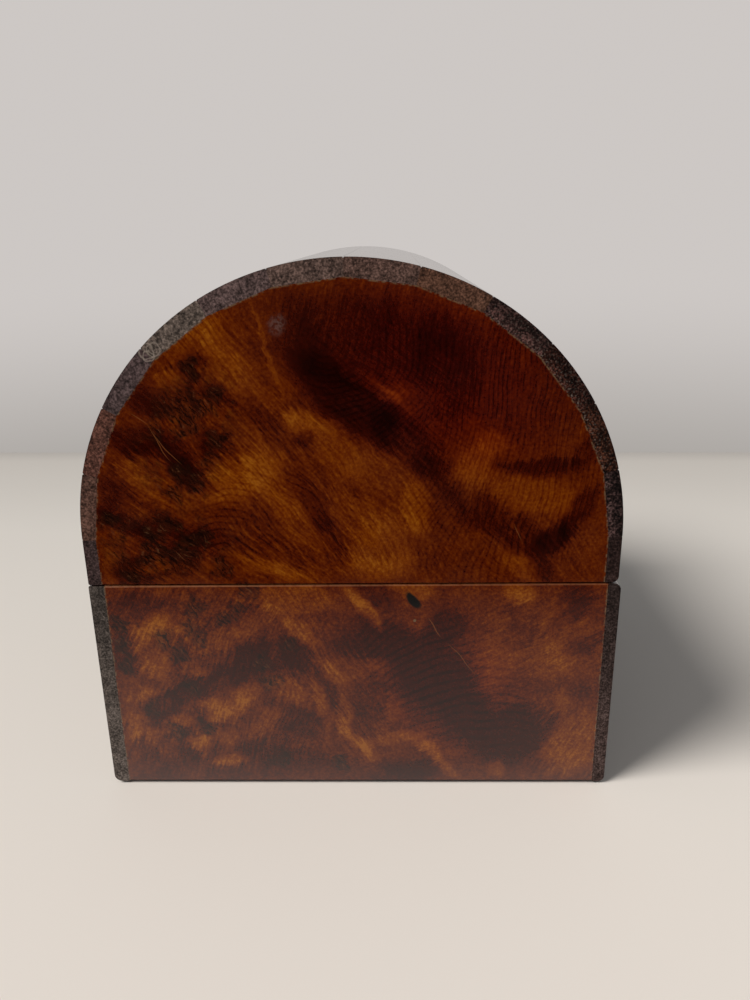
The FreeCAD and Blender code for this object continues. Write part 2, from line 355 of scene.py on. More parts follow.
lid_clouds = [
    Patch("crown maroon", 5, 108, 23, 12, 0, -0.22),
    Patch("dark heart", 0.5, 95, 17, 8, -40, -0.36),
    Patch("heart foot", 13, 86, 12, 6, -42, -0.20),
    Patch("crown maroon left", -10.5, 109, 11, 6, -74, -0.12),
    Patch("shoulder maroon", 20, 101, 9, 17, 0, -0.14),
    Patch("ring field", 35, 99, 19, 17, -40, -0.12),
    Patch("dark wave", 41, 80.6, 12, 2.8, 3, -0.24),
    Patch("dark wave end", 50, 84, 4, 3, 40, -0.16),
    Patch("dark hook", 49.5, 70, 9, 3, 60, -0.26),
    Patch("dark hook foot", 44.5, 63.8, 5.5, 3.6, 20, -0.29),
    Patch("trail top", 19, 79, 9, 5.2, -50, -0.13),
    Patch("trail middle", 27, 71, 10, 5.5, -42, -0.18),
    Patch("trail foot", 37, 65, 8, 5, -38, -0.18),
    Patch("trail end", 42, 58, 6, 3.5, -55, -0.18),
    Patch("left block upper", -41, 95, 6.5, 4.5, -35, -0.26),
    Patch("left block middle", -46, 86.5, 10, 4.5, -12, -0.26),
    Patch("left block lower", -34.5, 79.5, 6.5, 4, -40, -0.26),
    Patch("left block bridge", -37, 85, 7, 4, -50, -0.19),
    Patch("eye bank", -29, 86.5, 4.5, 4, 0, -0.19),
    Patch("left edge maroon", -50.5, 75, 6, 7, 0, -0.14),
    Patch("left vein", -50, 69, 8, 2.4, -28, -0.26),
    Patch("left swirl", -40, 65, 9, 6, -22, -0.22),
    Patch("left swirl tail", -29, 64, 9, 3, -12, -0.16),
    Patch("left foot", -49, 57.5, 9, 5, 0, -0.24),
    Patch("left foot bridge", -38, 58.5, 7, 3.5, 20, -0.14),
    Patch("upper left eyes", -33, 102.5, 3.6, 5, -20, -0.19),
    Patch("upper left shade", -35, 97.5, 6, 2.6, -20, -0.19),
    Patch("upper left drop", -27.5, 97, 5, 2.6, -15, -0.16),
    Patch("flow shade high", -18.5, 92, 8, 2.4, -50, -0.15),
    Patch("flow shade low", -9, 73.5, 11, 3.4, -62, -0.17),
    Patch("flow shade foot", -4.5, 64, 8, 4.4, -65, -0.13),
    Patch("flow shade left", -19, 66, 10, 4, -25, -0.04),
    Patch("knot shade", -9, 87, 3.6, 2.2, 15, -0.17),
    Patch("centre fleck", 0, 77, 3.4, 2.6, 0, -0.10),
    Patch("low fleck", 14.5, 62.8, 3.4, 2.8, -30, -0.17),
    Patch("low red vein", 9, 70.5, 6, 1.4, -50, -0.10),
    Patch("crown vein", 8, 111, 8, 1.6, 65, -0.07),
    Patch("red streak", 4.5, 99, 9, 2.2, -38, 0.19),
    Patch("red streak head", 9, 96.3, 3.4, 1.2, -36, 0.16),
    Patch("amber field", 5, 76, 13, 17, -25, 0.10),
    Patch("amber pool", 9, 63, 11, 9, 20, 0.20),
    Patch("amber edge", 14, 71, 3.6, 8, 8, 0.15),
    Patch("amber knot", -9, 90.3, 7, 3.6, -20, 0.26),
    Patch("ribbon high", -22.5, 102, 14, 4.6, -62, 0.09),
    Patch("ribbon edge", -16.4, 106, 13, 0.8, -74, 0.17),
    Patch("ribbon low", -13, 69, 16, 4, -47, 0.12),
    Patch("left amber", -25, 78, 12, 6, 22, 0.24),
    Patch("low amber streak", -17, 57.6, 12, 2.4, -24, 0.22),
    Patch("wave amber", 40, 74, 13, 5.6, -14, 0.19),
    Patch("wave amber left", 26, 79, 5, 8, -18, 0.22),
    Patch("wave amber top", 30.5, 86, 4.6, 3.6, 0, 0.19),
    Patch("left spark", -44.5, 58.3, 4.6, 2.6, 8, 0.31),
    Patch("left spark high", -41, 75.5, 8, 4, -25, 0.15),
    Patch("upper left amber", -36.5, 100, 4.6, 3.6, 20, 0.20),
    Patch("upper left amber two", -31, 109, 9, 5, 40, 0.14),
    Patch("left rim amber", -54.5, 58, 2.2, 6, 0, 0.17),
    Patch("right rim amber", 53.5, 65, 3, 12, 0, 0.04),
    Patch("right foot amber", 37, 57.8, 8, 3, -42, 0.19),
    Patch("amber flank", -2, 84, 9, 6, -50, 0.12),
    Patch("golden foot", 5, 57, 12, 4, -10, 0.14),
    Patch("crimson shoulder", 40, 92, 12, 8, -60, 0.03),
    Patch("left glow", -16, 78, 14, 7, -52, 0.12),
    Patch("upper flow glow", -26, 104, 12, 5, -58, 0.11),
    Patch("left bank glow", -47, 80, 5, 3, 0, 0.14),
]
base_clouds = [
    Patch("plum heart", 19, 28, 16, 11.5, -52, -0.36),
    Patch("plum lower right", 35, 15, 15, 11, -25, -0.36),
    Patch("plum top", 5, 40, 12, 7, -8, -0.28),
    Patch("plum lobe", 20.5, 43, 6.5, 5.5, 60, -0.24),
    Patch("plum brown", 3, 23, 11, 6.5, 90, -0.12),
    Patch("plum foot", 14, 4, 10, 3.5, -5, -0.20),
    Patch("saw cut shade", 6, 50.5, 7, 4.4, -20, -0.16),
    Patch("left plum", -20, 34.5, 13, 6.5, 8, -0.24),
    Patch("left plum tail", -31, 29, 9, 5, 35, -0.22),
    Patch("left plum end", -11, 34, 6, 5.5, -40, -0.17),
    Patch("left diagonal", -45, 22, 11, 3.6, 42, -0.20),
    Patch("left diagonal end", -39, 27.5, 7, 2.6, 18, -0.20),
    Patch("centre plum", -13, 17, 9, 5, -12, -0.17),
    Patch("centre plum slip", -5.4, 25, 7, 2.8, -68, -0.19),
    Patch("left rim shade", -53.5, 36, 3.6, 7, 0, -0.17),
    Patch("left upper shade", -51, 47.5, 9, 5, 20, -0.17),
    Patch("foot shade left", -40, 5, 24, 7, 0, -0.10),
    Patch("foot shade middle", -18, 8, 14, 5.5, -10, -0.16),
    Patch("foot shade", 6, 3, 14, 4, 5, -0.12),
    Patch("right wedge", 52.5, 37, 6.5, 2.6, 24, -0.20),
    Patch("right cloud", 37, 39.5, 6.5, 5, 30, -0.13),
    Patch("right upper vein", 49.5, 46.5, 8, 2.8, 35, -0.19),
    Patch("right upper shade", 51, 51, 5, 4, 0, -0.16),
    Patch("right middle shade", 52, 27, 7, 4, 0, -0.09),
    Patch("streak from the lid", 2.4, 47.6, 8, 2.4, -50, 0.37),
    Patch("upper amber", -14, 50, 15, 5, -6, 0.14),
    Patch("upper amber right", 14, 52, 6.5, 3, 0, 0.20),
    Patch("right spark", 37.5, 51, 5, 3.4, 0, 0.26),
    Patch("ribbon one", -14, 43, 9, 2.8, -40, 0.22),
    Patch("ribbon two", -5, 32, 9, 2.6, -50, 0.20),
    Patch("ribbon three", -3, 19, 2.6, 8, 0, 0.22),
    Patch("ribbon four", 0, 12, 7, 2.2, -50, 0.26),
    Patch("ribbon side", -7.8, 21, 1.8, 11, 8, 0.19),
    Patch("ribbon end", 3.4, 8.5, 5, 2.4, -40, 0.22),
    Patch("left amber upper", -47, 38, 6.5, 11, -15, 0.20),
    Patch("left amber middle", -30, 22.8, 8, 5, 25, 0.32),
    Patch("left amber drop", -22, 17.5, 6.5, 4, 30, 0.19),
    Patch("left amber right", -16.5, 26.5, 8, 4, -35, 0.22),
    Patch("left rim amber", -53, 17, 4.4, 6, 0, 0.24),
    Patch("low spark one", -38.5, 11.5, 4, 3.4, 0, 0.26),
    Patch("low spark two", -31, 7, 5, 2.2, 8, 0.37),
    Patch("low amber", -43, 18, 5.5, 2.6, 0, 0.19),
    Patch("low amber two", -31, 13.5, 7, 3, 10, 0.17),
    Patch("left spark", -49.5, 25.5, 4, 3.4, 0, 0.19),
    Patch("right amber", 33, 36, 6, 12, -12, 0.15),
    Patch("right amber wide", 46, 33, 12, 6, -15, 0.15),
    Patch("right amber low", 52, 12, 8, 12, -28, 0.24),
    Patch("right amber slip", 48, 23.5, 3, 5, -10, 0.15),
    Patch("swoosh arm", 9, 12.6, 10, 2, 12, 0.22),
    Patch("swoosh head", 18.5, 9.2, 6, 2.2, -42, 0.31),
    Patch("swoosh tail", 23.5, 3.6, 5, 1.6, -48, 0.19),
    Patch("plum spark", 9, 21, 2.6, 5, 0, 0.17),
    Patch("plum spark low", 34, 4.4, 3, 3, 0, 0.20),
    Patch("plum blush", 34, 22.4, 4.4, 3.4, 30, 0.12),
    Patch("middle amber", 3.5, 31.5, 7, 4, 10, 0.12),
    Patch("left glow", -44, 44, 12, 5, 0, 0.10),
    Patch("left middle glow", -28, 40, 9, 4, 10, 0.10),
    Patch("right glow", 46, 40, 10, 10, 0, 0.10),
]
print("clouds on the lid:", len(lid_clouds), "and on the base:", len(base_clouds))

# %% Eyes and marks
lid_eyes = [(-29.5, 58), (-24, 52.5), (-33, 103), (-34, 94), (-28, 97), (-33.5, 91), (-27.5, 87), (-37, 80),
            (-34, 78), (-39, 75), (-53, 70), (-44, 66), (-41, 68), (-36, 64), (-33, 65), (-45, 60), (-42, 61),
            (-50, 56)]
base_eyes = [(-24, 52.5), (-36.5, 48), (-26, 47.5), (-29.5, 44), (-38, 42.5), (-36, 40), (-41, 36.5),
             (-53.5, 33), (-54, 38), (-54, 43), (-44.5, 40), (-15.5, 38), (-22.5, 33), (-40, 27), (-20, 28),
             (-36, 16), (-43.5, 14.5), (-49, 21), (-4.5, 6), (-18, 6.5)]
eye_radius = 1.9
bark_zones = [(-35, 88, 20, 13, 65), (-42, 63, 21, 11, 10)]
# the pit's place; its shade is painted as a near-black spot
shaded_pit = (13.9, 49.6, 2.4, 1.35, -55)
bright_dot = (13.7, 44.9, 0.4, 0.4, 0)
smudge = (-14.2, 111.2, 3.0, 2.6, 30, 0.6)
lid_scratches = [(-46.5, 93.5, -42.5, 90), (-43, 90.5, -37.5, 81.5), (-42, 88.5, -35.5, 81.5),
                 (36, 68, 38, 63)]
base_scratches = [(16, 46.5, 20, 39.5), (20, 39.5, 29.5, 29.5)]
scratch_width = 0.13
print("eyes:", len(lid_eyes) + len(base_eyes))

# %% [markdown]
# Burl: fibres and rings
#
# Between the clouds lie the fibres, and they lean another way in each part of the face: at about 50
# degrees down to the right on the left half, and steeply on the right. Where a cloud ends, its edge is
# feathered along the fibres. So each zone below has a lean, and its streaks do two things: they shade the
# wood, and they push the clouds' edges to and fro along the lean. The growth rings are thin dark lines
# 1.15 to 2.3 mm apart. On the right of the lid they run down and swing left, round the heart and round a
# swelling low on the left they are circles, and on the base they rise to the right. Each set is the sine
# of a smooth distance, masked to its place.

# %% Zones of fibres and rings
Strands = namedtuple("Strands", "name x z reach width tilt lean tone feather")
Fibres = namedtuple("Fibres", "width detail roughness strength")
Rings = namedtuple("Rings", "name x z reach width tilt kind gap tone")

lid_strands = [
    Strands("left flow", -20, 84, 44, 19, -62, -52, 0.71, 8.0),
    Strands("left edge", -46, 76, 20, 16, 90, -38, 0.61, 6.0),
    Strands("left foot", -30, 58, 34, 10, 0, -35, 0.58, 5.0),
    Strands("heart", 8, 94, 24, 18, -40, -40, 0.36, 6.0),
    Strands("crown", 8, 113, 30, 9, 0, 75, 0.37, 4.0),
    Strands("right field", 38, 88, 36, 22, 90, 82, 0.36, 4.0),
    Strands("amber field", 8, 66, 24, 18, 90, -62, 0.40, 5.0),
    Strands("right foot", 38, 60, 24, 12, 0, -48, 0.38, 4.0),
]
base_strands = [
    Strands("left upper", -36, 42, 30, 16, 0, 62, 0.68, 5.0),
    Strands("left lower", -36, 14, 30, 17, 0, 72, 0.71, 6.0),
    Strands("ribbons", -6, 30, 32, 13, -70, -58, 0.61, 6.0),
    Strands("plum", 26, 26, 26, 26, 0, 24, 0.34, 6.0),
    Strands("right upper", 44, 42, 22, 14, 0, 32, 0.51, 5.0),
    Strands("right lower", 50, 12, 14, 16, 0, 62, 0.58, 5.0),
]
lid_rings = [
    Rings("swinging", 34, 82, 40, 24, 82, "swinging", 1.15, 0.12),
    Rings("round the heart", 8, 99, 19, 17, -30, "heart", 1.3, 0.10),
    Rings("amber arcs", 10, 68, 15, 14, 60, "arcs", 1.7, 0.10),
    Rings("swelling", -22, 70, 20, 11, 20, "swelling", 1.6, 0.13),
]
base_rings = [
    Rings("rising", 21, 28, 27, 16, -40, "rising", 2.3, 0.16),
    Rings("left waves", -30, 24, 28, 24, 0, "upright", 1.7, 0.08),
]
streak_length = 7.0
lid_fibres = Fibres(0.75, 3.5, 0.68, 1.5)
base_fibres = Fibres(0.7, 3.5, 0.68, 1.25)

ring_centres = {"heart": (-4, 0, 108), "arcs": (-6, 0, 56), "swelling": (-28, 0, 54)}
swing_by_height = (58, 92, 8.0, -4.0)
swing_by_side = (18, 44, 1.0, 0.15)
swing_lean = -0.08
rising_slope = -0.40
rising_middle = 18
rising_bend = 0.12
wave_lean = -0.35


def ring_distance(recipe, face, kind):
    """A smooth distance across the growth rings, in mm."""
    x, _, z = recipe.add("ShaderNodeSeparateXYZ", {"Vector": face}).outputs
    if kind == "swinging":
        swing = recipe.times(recipe.rise(z, *swing_by_height), recipe.rise(x, *swing_by_side))
        return recipe.math("MULTIPLY_ADD", z, swing_lean, recipe.plus(x, swing))
    if kind == "rising":
        level = recipe.math("MULTIPLY_ADD", x, rising_slope, z)
        bend = recipe.times(recipe.minus(x, rising_middle), rising_bend)
        return recipe.plus(level, recipe.times(bend, bend))
    if kind == "upright":
        return recipe.math("MULTIPLY_ADD", z, wave_lean, x)
    return recipe.vector("LENGTH", recipe.vector("SUBTRACT", face, ring_centres[kind]))


# %% [markdown]
# Burl: from patches to one tone
#
# Every point of the face gets one number, its tone, and a colour ramp turns the tone into wood at the end.
# Patches, fibres, grain and rings only raise or lower the tone, so they blend into each other as the
# layers of the wood do, and no point can get a colour that the wood hasn't got. Before that, noise of
# three sizes moves the points about, so that no oval's outline shows. The far end is the next slice of the
# same block, turned to face outwards: it has the same large figure with fine detail of its own, and each
# board's inner face shows its figure from the back.

# %% Points on the face
Points = namedtuple("Points", "flat seeded gentle bent is_near crumbs")

depth_drift = 0.3
broad_crumple = (16, 2.2)
fine_crumples = [(4.5, 1.5), (1.3, 0.45)]
crumb_noise = (1.1, 3.0, 0.7)


def face_points(recipe):
    """The place on the face, and that place crumpled gently and crumpled more."""
    side = recipe.math("SIGN", recipe.y)
    across = recipe.times(recipe.times(recipe.x, side), -1.0)
    flat = recipe.together(across, 0.0, recipe.z)
    seeded = recipe.together(across, recipe.times(recipe.y, depth_drift), recipe.z)
    gentle = recipe.vector("ADD", flat, recipe.drift(seeded, *broad_crumple))
    bent = gentle
    for crumple in fine_crumples:
        bent = recipe.vector("ADD", bent, recipe.drift(seeded, *crumple))
    is_near = recipe.math("LESS_THAN", side, 0.0)
    return Points(flat, seeded, gentle, bent, is_near, recipe.noise(seeded, *crumb_noise))


# %% Clouds and fibres
cloud_reach = 1.08
cloud_core = 0.4
zone_reach = 1.2
zone_core = 0.45
cloudy_noise = (5.0, 5.0, 0.68)
knotty_noise = (4.4, 2.5, 0.55)
knotty_steps = (0.38, 0.62, -0.44, 0.56)
knotty_core = 0.4


def zone_mask(recipe, vector, zone, amount=1.0):
    place = (zone.x, zone.z, zone.reach * zone_reach, zone.width * zone_reach, zone.tilt)
    return recipe.spot(vector, *place, amount, zone_core)


def streaks(recipe, face, lean, fibres):
    """Streaks along the lean, from -0.5 to 0.5."""
    along = recipe.turned(face, (0, 0, 0), lean, (streak_length, 1, fibres.width))
    return recipe.minus(recipe.noise(along, 1.0, fibres.detail, fibres.roughness), 0.5)


def clouds_tone(recipe, face, clouds, base_tone):
    """Adds every cloud's tone to the base tone."""
    total = base_tone
    for cloud in clouds:
        place = (cloud.x, cloud.z, cloud.reach * cloud_reach, cloud.width * cloud_reach, cloud.tilt)
        total = recipe.plus(total, recipe.spot(face, *place, cloud.tone, cloud_core))
    return total


def figure_tone(recipe, points, figure):
    """The tone of the clouds, feathered and shaded by the fibres and broken up where the wood is knotty."""
    face = points.bent
    shade = 0.0
    for zone in figure.strands:
        mask = zone_mask(recipe, points.flat, zone)
        streak = recipe.times(streaks(recipe, points.gentle, zone.lean, figure.fibres), mask)
        shade = recipe.math("MULTIPLY_ADD", streak, figure.fibres.strength * zone.tone, shade)
        lean = math.radians(zone.lean)
        push = (math.cos(lean) * zone.feather, 0, math.sin(lean) * zone.feather)
        face = recipe.vector("ADD", face, recipe.vector("SCALE", push, scale=streak))
    tone = recipe.plus(clouds_tone(recipe, face, figure.clouds, figure.base_tone), shade)
    cloudy = recipe.minus(recipe.noise(points.seeded, *cloudy_noise), 0.5)
    tone = recipe.math("MULTIPLY_ADD", cloudy, figure.cloudiness, tone)
    knots = recipe.rise(recipe.noise(face, *knotty_noise), *knotty_steps)
    return recipe.math("MULTIPLY_ADD", knots, recipe.spot(points.flat, *figure.knotty, knotty_core), tone)


# %% Eyes and grain
far_away = 99.0
eye_size_noise = (2.6, 2.0)
eye_size_steps = (0.3, 0.7, 0.6, 1.5)
eye_shade = (0.5 * eye_radius, 2.2 * eye_radius, -0.13, 0.0)
floor_softness = 0.12
grain_noise = (0.65, 2.0, 0.75)
grain_in_the_dark = (0.15, 0.5, 0.5, 1.0)


def eye_distance(recipe, points, eyes):
    """How far away the nearest eye is, in mm, made uneven so that the eyes differ in size."""
    nearest = far_away
    for x, z in eyes:
        away = recipe.vector("LENGTH", recipe.vector("SUBTRACT", points.bent, (x, 0, z)))
        nearest = recipe.math("MINIMUM", nearest, away)
    return recipe.times(nearest, recipe.rise(recipe.noise(points.seeded, *eye_size_noise), *eye_size_steps))


def grained(recipe, points, tone, nearest, figure):
    """Darkens the eyes, holds the tone above the board's darkest, and adds grain, less of it in the dark."""
    tone = recipe.plus(tone, recipe.rise(nearest, *eye_shade))
    tone = recipe.math("SMOOTH_MAX", tone, figure.darkest, floor_softness)
    grain = recipe.minus(recipe.noise(points.seeded, *grain_noise), 0.5)
    grain = recipe.times(grain, recipe.rise(tone, *grain_in_the_dark))
    return recipe.math("MULTIPLY_ADD", grain, figure.graininess, tone)


# %% Growth rings
ring_tremble = (3.0, 0.15)
ring_spread_noise = (11.0, 2.0)
ring_spread = 7.0
faint_noise = (5.5, 3.0, 0.6)
faint_steps = (0.34, 0.62, 0.35, 1.0)
ring_line = (0.1, 1.0)


def ringed(recipe, points, tone, rings):
    """Draws the rings, unevenly spaced and fainter in places."""
    wavy = recipe.vector("ADD", points.gentle, recipe.drift(points.seeded, *ring_tremble))
    uneven = recipe.noise(points.seeded, *ring_spread_noise)
    faint = recipe.rise(recipe.noise(points.seeded, *faint_noise), *faint_steps)
    for zone in rings:
        mask = zone_mask(recipe, points.flat, zone, -zone.tone)
        turns = recipe.times(ring_distance(recipe, wavy, zone.kind), 2 * math.pi / zone.gap)
        turns = recipe.math("MULTIPLY_ADD", uneven, ring_spread, turns)
        line = recipe.times(recipe.rise(recipe.math("SINE", turns), *ring_line), faint)
        tone = recipe.math("MULTIPLY_ADD", line, mask, tone)
    return tone


# %% [markdown]
# Burl: tangles and marks
#
# The eyes of burl aren't plain dots. The fibres round a bud are knotted, so close up an eye is a tangle
# of short dark strokes with a few reddish glints between them, over wood that is a little darker. The
# glints are painted highlights. One noise, stretched along the lean of the fibres, gives both: its low
# parts are the strokes and its high parts the painted glints. They are laid on as colours, because no
# step of the ramp is as dark or as bare.
#
# The near end also has marks of use: a small pit, whose shade is painted as a near-black spot, a dot of
# glue, fine scratches and a pale rubbed smudge with hairlines in it. The far end's marks can't be known,
# so it has none.

# %% Tangles
tangle_colour = (0.040, 0.0125, 0.0045)
stroke_colour = (0.0060, 0.0016, 0.0010)
painted_glint_colour = (0.17, 0.075, 0.030)
tangle_cover = 0.3
tangle_edge = (0.4 * eye_radius, 1.7 * eye_radius, 1.0, 0.0)
bark_noise = (5.0, 2.0)
bark_steps = (0.44, 0.56)
stroke_tilt = -48
stroke_stretch = 4.0
stroke_noise = (0.58, 2.5, 0.65)
stroke_steps = (0.40, 0.54, 0.88, 0.0)
painted_glint_steps = (0.59, 0.68, 0.0, 0.36)


def tangled(recipe, points, colour, nearest):
    """Lays dark strokes and painted highlights over the eyes and the bark-like places round them."""
    bark = 0.0
    for zone in bark_zones:
        bark = recipe.plus(bark, recipe.spot(points.flat, *zone))
    bark = recipe.times(bark, recipe.rise(recipe.noise(points.seeded, *bark_noise), *bark_steps))
    tangle = recipe.math("MAXIMUM", recipe.rise(nearest, *tangle_edge), bark)
    along = recipe.turned(points.bent, (0, 0, 0), stroke_tilt, (stroke_stretch, 1, 1))
    strokes = recipe.noise(along, *stroke_noise)
    # the glints are painted highlights
    layers = [(tangle_cover, tangle_colour), (recipe.rise(strokes, *stroke_steps), stroke_colour),
              (recipe.rise(strokes, *painted_glint_steps), painted_glint_colour)]
    for cover, paint in layers:
        colour = recipe.mix(recipe.times(tangle, cover), colour, paint)
    return colour


# %% Marks of use
scratch_colour = (0.20, 0.065, 0.018)
glue_colour = (0.15, 0.095, 0.05)
pit_shade_colour = (0.004, 0.003, 0.0025)
smudge_colour = (0.15, 0.085, 0.07)
scratch_cover = (0.6, 0.5)
dot_cover = (1.0, 0.6)
hairlines = (0.0, 0.12, 0.9, 0.2)


def marked(recipe, points, colour, scratches):
    """The scratches, the smudge, the pit's painted shade and the dot of glue, on the near end alone."""
    layers = []
    for x0, z0, x1, z1 in scratches:
        tilt = math.degrees(math.atan2(z1 - z0, x1 - x0))
        reach = math.hypot(x1 - x0, z1 - z0) / 2
        middle = ((x0 + x1) / 2, (z0 + z1) / 2)
        line = recipe.spot(points.gentle, *middle, reach, scratch_width, tilt, *scratch_cover)
        layers.append((line, scratch_colour))
    hair = recipe.rise(recipe.math("ABSOLUTE", recipe.minus(points.crumbs, 0.5)), *hairlines)
    layers.append((recipe.times(recipe.spot(points.gentle, *smudge), hair), smudge_colour))
    # painted shade: the pit as a near-black spot
    layers.append((recipe.spot(points.gentle, *shaded_pit, *dot_cover), pit_shade_colour))
    layers.append((recipe.spot(points.gentle, *bright_dot, *dot_cover), glue_colour))
    for mark, paint in layers:
        colour = recipe.mix(recipe.times(mark, points.is_near), colour, paint)
    return colour


# %% [markdown]
# Burl: edges
#
# The sharp upper edge of the base catches the light as a pale line at the split that fades to the right,
# away from the light: a painted highlight. Crumbs of pale glue sit where the burl meets the band, and
# a pale painted reflection of the floor lies over the foot. The band's inner outline is straight up to
# the springing of the arch and then one straight chord for each slat, so the distance to it is worked
# out from the angle round the arch.

# %% Edge distance
slat_count = 12
slat_angle = math.pi / slat_count
arch_centre = Vector((-0.3, 0, 64.4))
arch_radius = 59.6
shell_thickness = 3.0
crown_extra = 0.8
board_edges = (-56.5, 57.1)
rim_top = 53.45


def edge_distance(recipe):
    """How far a point of an end board is inside the band, in mm."""
    across = recipe.minus(recipe.x, arch_centre.x)
    up = recipe.math("MAXIMUM", recipe.minus(recipe.z, arch_centre.z), 0.0)
    angle = recipe.math("ARCTAN2", up, across)
    off_middle = recipe.minus(slat_angle / 2, recipe.math("PINGPONG", angle, slat_angle / 2))
    out = recipe.vector("LENGTH", recipe.together(across, 0.0, up))
    out = recipe.times(out, recipe.math("COSINE", off_middle))
    thin_seat = arch_radius - shell_thickness
    seat = recipe.math("MULTIPLY_ADD", recipe.math("SINE", angle), -crown_extra, thin_seat)
    to_slats = recipe.minus(recipe.times(seat, math.cos(slat_angle / 2)), out)
    to_boards = recipe.math("MINIMUM", recipe.minus(recipe.x, board_edges[0]),
                            recipe.minus(board_edges[1], recipe.x))
    on_base = recipe.math("LESS_THAN", recipe.z, rim_top)
    return recipe.between(on_base, to_slats, to_boards)


# %% Glue, painted highlight and painted reflection
rim_highlight_colour = (0.31, 0.135, 0.065)
foot_reflection_colour = (0.34, 0.36, 0.36)
glue_band = (0.10, 0.42, 0.85, 0.0)
glue_crumbs = (0.42, 0.62)
rim_highlight_heights = (52.90, 53.02)
rim_highlight_crumbs = (0.25, 0.5, 0.15, 0.6)
rim_highlight_fade = (-60, 60, 1.0, 0.55)
outer_face = 59.5
foot_reflection_fade = (0.0, 9.0, 0.045, 0.0)


def edged(recipe, points, colour):
    """Glue along the band, a painted highlight on the upper edge of the base's outer face, and a painted
    reflection at the foot.
    """
    glue = recipe.rise(edge_distance(recipe), *glue_band)
    glue = recipe.times(glue, recipe.rise(points.crumbs, *glue_crumbs))
    colour = recipe.mix(glue, colour, glue_colour)
    # painted highlight: the pale line where the base's upper edge catches the light
    rim_highlight = recipe.times(recipe.rise(recipe.z, *rim_highlight_heights), recipe.math("LESS_THAN", recipe.z, rim_top))
    rim_highlight = recipe.times(rim_highlight, recipe.rise(points.crumbs, *rim_highlight_crumbs))
    rim_highlight = recipe.times(rim_highlight, recipe.rise(recipe.x, *rim_highlight_fade))
    rim_highlight = recipe.times(rim_highlight, recipe.math("GREATER_THAN", recipe.math("ABSOLUTE", recipe.y), outer_face))
    colour = recipe.mix(rim_highlight, colour, rim_highlight_colour)
    # painted reflection: a pale floor haze over the foot
    return recipe.mix(recipe.rise(recipe.z, *foot_reflection_fade), colour, foot_reflection_colour)


# %% [markdown]
# Burl: colour and varnish
#
# The ramp goes from nearly black through red-brown to amber, with hardly any blue in it: that is what
# makes varnished burl glow. The upper right of the lid and the heart of the base are redder than the ramp,
# so a crimson tint is multiplied over them. The varnish is thick and polished by hand. A low roughness
# with slow changes gives its gloss, and a very shallow bump makes what it mirrors a little wavy.

# %% Burl finish
Figure = namedtuple("Figure", "clouds strands fibres rings eyes scratches base_tone darkest cloudiness "
                              "graininess knotty crimson")

burl_ramp = [
    (0.00, (0.0085, 0.0009, 0.0004)),
    (0.15, (0.0200, 0.0017, 0.0004)),
    (0.30, (0.0400, 0.0034, 0.0005)),
    (0.45, (0.0740, 0.0080, 0.0006)),
    (0.60, (0.1180, 0.0175, 0.0008)),
    (0.78, (0.1800, 0.0365, 0.0012)),
    (1.00, (0.3000, 0.0900, 0.0050)),
]
crimson_tint = (1.03, 0.62, 0.95)
crimson_core = 0.3
polish_noise = (12, 2.0)
polish_steps = (0.3, 0.7, 0.08, 0.15)
ripple_noise = (5.0, 2.0)
ripple_bump = (0.03, 0.6)


def burl(name, figure):
    recipe = Recipe(name)
    points = face_points(recipe)
    nearest = eye_distance(recipe, points, figure.eyes)
    tone = figure_tone(recipe, points, figure)
    tone = grained(recipe, points, tone, nearest, figure)
    tone = ringed(recipe, points, tone, figure.rings)
    colour = recipe.colours(tone, burl_ramp)
    is_crimson = recipe.spot(points.flat, *figure.crimson, crimson_core)
    colour = recipe.mix(is_crimson, colour, crimson_tint, "MULTIPLY")
    colour = tangled(recipe, points, colour, nearest)
    colour = marked(recipe, points, colour, figure.scratches)
    colour = edged(recipe, points, colour)
    roughness = recipe.rise(recipe.noise(points.seeded, *polish_noise), *polish_steps)
    ripple = recipe.bump(recipe.noise(points.seeded, *ripple_noise), *ripple_bump)
    return recipe.finish(base_color=colour, roughness=roughness, specular_ior_level=0.58, normal=ripple)


lid_figure = Figure(
    clouds=lid_clouds, strands=lid_strands, fibres=lid_fibres, rings=lid_rings, eyes=lid_eyes,
    scratches=lid_scratches, base_tone=0.52, darkest=0.0, cloudiness=0.20, graininess=0.58,
    knotty=(-44, 78, 20, 32, 0, 0.09), crimson=(20, 100, 36, 24, -25, 1.0))
base_figure = Figure(
    clouds=base_clouds, strands=base_strands, fibres=base_fibres, rings=base_rings, eyes=base_eyes,
    scratches=base_scratches, base_tone=0.54, darkest=0.27, cloudiness=0.55, graininess=0.78,
    knotty=(-40, 26, 26, 32, 0, 0.20), crimson=(22, 26, 26, 22, -30, 0.5))
lid_burl = burl("lid burl", lid_figure)
base_burl = burl("base burl", base_figure)

# %% [markdown]
# The dark band
#
# The boards and slats that wrap the box are one kind of dark wood, stained and polished on the outside.
# Their ends show at each end of the box, and end grain drinks stain and catches dirt, so it is dull,
# speckled and different from slat to slat. One recipe makes every band piece, from the colour of its end
# and how scuffed it is. Fine noise over broad noise makes the end grain, and pale dust lies in its pores.
# The last four slats at the back are dark with strong contrast, and darker still towards the outside. Both
# boards of the base get paler towards the foot, and three small curls on the front of the arch are
# scratches. The distance inside the band, which the burl needs too, places the dust and the shading.

